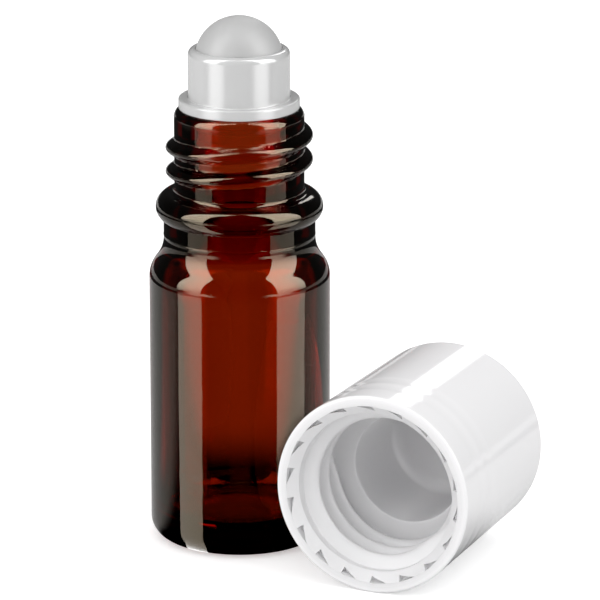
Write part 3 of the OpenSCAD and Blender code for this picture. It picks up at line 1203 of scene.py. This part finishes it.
class Studio(Nodes):
    """Nodes that lay the studio out round the object, in a stage material or the world."""

    def __init__(self, tree):
        super().__init__(tree)
        self.path = self.node("ShaderNodeLightPath").outputs

    def place(self, kind):
        """X, Y and Z of a texture coordinate."""
        return self.split(self.node("ShaderNodeTexCoord").outputs[kind])

    def distance(self, x, y):
        """How far a place on the floor is from the middle."""
        squares = [self.math("MULTIPLY", value, value) for value in (x, y)]
        return self.math("SQRT", self.math("ADD", *squares))

    def azimuth(self, x, y):
        """Degrees from the front, to the right."""
        return self.math("DEGREES", self.math("ARCTAN2", x, self.math("MULTIPLY", y, -1)))

    def window(self, value, start, end, edge):
        """1 between start and end, with soft edges."""
        rising = self.ramp(value, start, start + edge)
        return self.math("MULTIPLY", rising, self.ramp(value, end - edge, end, 1.0, 0.0))

    def soft_boxes(self, azimuth, s):
        """1 where an azimuth lies before one of the soft boxes."""
        left = self.window(azimuth, *s.left_box)
        return self.math("ADD", left, self.window(azimuth, *s.right_box))

    def backdrop(self, sideways, s):
        """What shows through the glass: the backdrop, between dark cards at its sides."""
        sideways = self.math("ABSOLUTE", sideways)
        begin, full, ending, ended = s.cards
        middle = self.ramp(sideways, begin, full, s.backdrop, 0.0)
        return self.math("ADD", middle, self.ramp(sideways, ending, ended, 0.0, s.backdrop))

    def light(self, kind, strength):
        """A white Background or Emission shader of a strength."""
        return self.node(kind, Color=WHITE, Strength=strength).outputs[0]


def floor_light(studio, s, body_radius):
    """What the floor shows through the glass, and what gloss mirrors in it.

    Round the bottle lies a pale card. The soft boxes on it are laid out for what an upright
    wall of the body's radius mirrors. Far off are more soft boxes, for the cap.
    """
    math_ = studio.math
    x, y, _ = studio.place("Object")
    out = studio.distance(x, y)
    azimuth = studio.azimuth(x, y)
    near, beyond, _ = s.box_levels

    body_share = math_("MINIMUM", math_("DIVIDE", body_radius, out), 1)
    mirrored_to = math_("MULTIPLY", azimuth, math_("DIVIDE", 2, math_("SUBTRACT", 2, body_share)))
    cut_x, cut_y, cut_inner, cut_outer = s.cut_out
    from_cut = studio.distance(math_("SUBTRACT", x, cut_x), math_("SUBTRACT", y, cut_y))
    uncut = studio.ramp(from_cut, cut_inner, cut_outer)
    boxes = math_("MULTIPLY", studio.soft_boxes(mirrored_to, s), uncut)

    # Painted shadow: what shows through the glass is dark near the bottle's axis, standing in for
    # its shadow on the floor
    under = studio.ramp(out, *s.under)
    backdrop = math_("MULTIPLY", studio.backdrop(math_("DIVIDE", x, out), s), under)
    boxes_behind = math_("MULTIPLY", math_("MULTIPLY", boxes, near), under)
    behind = math_("MAXIMUM", backdrop, boxes_behind)

    lit = studio.ramp(math_("DIVIDE", y, out), *s.dark_front)
    card = math_("MULTIPLY", lit, studio.ramp(out, *s.card, s.surround, s.surround_up))
    card_boxes = math_("MULTIPLY", boxes, studio.ramp(out, *s.card, near, beyond))
    close = math_("MAXIMUM", card, card_boxes)
    far_box = studio.window(math_("ABSOLUTE", azimuth), *s.far_boxes)
    far = math_(
        "MAXIMUM", math_("MULTIPLY", lit, s.surround_far), math_("MULTIPLY", far_box, s.far_level)
    )
    begun = studio.ramp(out, *s.far_begin)
    mirrored = math_(
        "ADD",
        math_("MULTIPLY", close, math_("SUBTRACT", 1, begun)),
        math_("MULTIPLY", far, begun),
    )
    return behind, mirrored


def make_floor(s, body_radius):
    """A pale floor, lifted to white for the camera, that keeps the object's shadow."""
    half = s.floor_size / 2
    mesh = bpy.data.meshes.new("floor")
    corners = [(-half, -half, 0), (half, -half, 0), (half, half, 0), (-half, half, 0)]
    mesh.from_pydata(corners, [], [(0, 1, 2, 3)])
    floor = link("floor", mesh)
    finish = Finish("pale_floor")
    finish.set(Roughness=1, Specular_IOR_Level=0)
    finish.set(Base_Color=(*s.floor, 1), Emission_Color=WHITE)
    studio = Studio(finish.material.node_tree)
    path = studio.path
    lift = studio.math("MULTIPLY", path["Is Camera Ray"], s.floor_lift)
    studio.put(finish.shader.inputs["Emission Strength"], lift)
    behind, mirrored = floor_light(studio, s, body_radius)
    behind = studio.light("ShaderNodeEmission", behind)
    mirrored = studio.light("ShaderNodeEmission", mirrored)
    seen = studio.mixed(path["Is Glossy Ray"], finish.shader.outputs[0], mirrored)
    seen = studio.mixed(path["Is Transmission Ray"], seen, behind)
    studio.put(finish.output.inputs["Surface"], seen)
    mesh.materials.append(finish.material)


def make_world(s):
    """A soft studio; glass and gloss see its soft boxes, backdrop and dark front."""
    world = bpy.data.worlds.new("studio")
    bpy.context.scene.world = world
    world.use_nodes = True
    studio = Studio(world.node_tree)
    x, y, z = studio.place("Generated")
    azimuth = studio.azimuth(x, y)
    near, _, high = s.box_levels
    level = studio.ramp(z, *s.box_rise, near, high)
    boxes = studio.math("MULTIPLY", studio.soft_boxes(azimuth, s), level)
    back = studio.math(
        "MULTIPLY", studio.window(azimuth, *s.back_box), studio.window(z, *s.back_heights)
    )
    surround = studio.math(
        "ADD",
        studio.ramp(y, *s.dark_front, 0.0, s.surround_up),
        studio.math("MULTIPLY", back, s.back_level),
    )
    behind = studio.math("MAXIMUM", boxes, studio.backdrop(x, s))
    mirrored = studio.math("MAXIMUM", boxes, surround)
    soft = studio.nodes["Background"]
    studio.put(soft.inputs["Color"], WHITE)
    studio.put(soft.inputs["Strength"], studio.ramp(z, 0, 1, *s.sky))
    behind = studio.light("ShaderNodeBackground", behind)
    mirrored = studio.light("ShaderNodeBackground", mirrored)
    white = studio.light("ShaderNodeBackground", 1.0)
    seen = studio.mixed(studio.path["Is Glossy Ray"], soft.outputs[0], mirrored)
    seen = studio.mixed(studio.path["Is Transmission Ray"], seen, behind)
    seen = studio.mixed(studio.path["Is Camera Ray"], seen, white)
    studio.put(studio.nodes["World Output"].inputs["Surface"], seen)


def soft_box(name, azimuth, width, low, high, level, distance=0.5):
    """A lamp behind an upright soft box, at an azimuth and of a width in degrees, seen from the
    object; the azimuth counts from the front, to the right."""
    turn = math.radians(azimuth)
    lamp = bpy.data.lights.new(name, "AREA")
    lamp.shape = "RECTANGLE"
    lamp.size = 2 * distance * math.tan(math.radians(width / 2))
    lamp.size_y = high - low
    lamp.energy = level * math.pi * lamp.size * lamp.size_y
    box = bpy.data.objects.new(name, lamp)
    bpy.context.scene.collection.objects.link(box)
    out = Vector((math.sin(turn), -math.cos(turn), 0))
    box.location = out * distance + Vector((0, 0, (low + high) / 2))
    box.rotation_mode = "QUATERNION"
    box.rotation_quaternion = (-out).to_track_quat("-Z", "Y")
    box.visible_camera = False
    box.visible_transmission = False
    box.visible_glossy = False


def make_camera(s):
    """The camera at the photograph's viewing angle."""
    data = bpy.data.cameras.new("camera")
    data.sensor_width = 36
    data.lens = data.sensor_width * s.camera_distance / s.view_width
    data.clip_start, data.clip_end = 0.01, 20
    camera = bpy.data.objects.new("camera", data)
    bpy.context.scene.collection.objects.link(camera)
    back = Vector((0, -math.cos(s.camera_elevation), math.sin(s.camera_elevation)))
    camera.location = Vector(s.target) + back * s.camera_distance
    camera.rotation_mode = "QUATERNION"
    camera.rotation_quaternion = (-back).to_track_quat("-Z", "Y")
    bpy.context.scene.camera = camera


class MakeStage(bpy.types.Operator):
    """Makes the floor, the studio's light and the camera"""

    bl_idname = "rollon.stage"
    bl_label = "Stage"

    def execute(self, context):
        s = context.scene.rollon_stage
        make_floor(s, context.scene.rollon_bottle.body_radius)
        make_world(s)
        left, right = s.lamps
        soft_box("soft_box_left", azimuth=-38, width=40, low=0.0, high=0.5, level=left)
        soft_box("soft_box_right", azimuth=58, width=44, low=-0.5, high=0.45, level=right)
        make_camera(s)
        context.scene.view_settings.view_transform = "Standard"
        return {"FINISHED"}


class RollOnPanel(bpy.types.Panel):
    """Lists the pieces and their sizes"""

    bl_idname = "VIEW3D_PT_rollon"
    bl_label = "Roll-on bottle"
    bl_space_type = "VIEW_3D"
    bl_region_type = "UI"
    bl_category = "Roll-on"

    def draw(self, context):
        for operator in OPERATORS:
            self.layout.operator(operator.bl_idname)
        for name, group in SETTINGS.items():
            box = self.layout.box()
            for key in group.__annotations__:
                box.prop(getattr(context.scene, name), key)


SETTINGS = {
    "rollon_bottle": BottleSettings,
    "rollon_thread": ThreadSettings,
    "rollon_roller": RollerSettings,
    "rollon_cap": CapSettings,
    "rollon_finish": FinishSettings,
    "rollon_stage": StageSettings,
}
OPERATORS = (MakeBottle, MakeHousing, MakeBall, MakeCap, MakeStage)


def register():
    for name, group in SETTINGS.items():
        bpy.utils.register_class(group)
        setattr(bpy.types.Scene, name, PointerProperty(type=group))
    for kind in (*OPERATORS, RollOnPanel):
        bpy.utils.register_class(kind)


def unregister():
    for kind in (RollOnPanel, *reversed(OPERATORS)):
        bpy.utils.unregister_class(kind)
    for name, group in reversed(SETTINGS.items()):
        delattr(bpy.types.Scene, name)
        bpy.utils.unregister_class(group)


def main():
    register()
    bpy.ops.rollon.bottle()
    bpy.ops.rollon.housing()
    bpy.ops.rollon.ball()
    bpy.ops.rollon.cap()
    bpy.ops.rollon.stage()


if __name__ == "__main__":
    main()
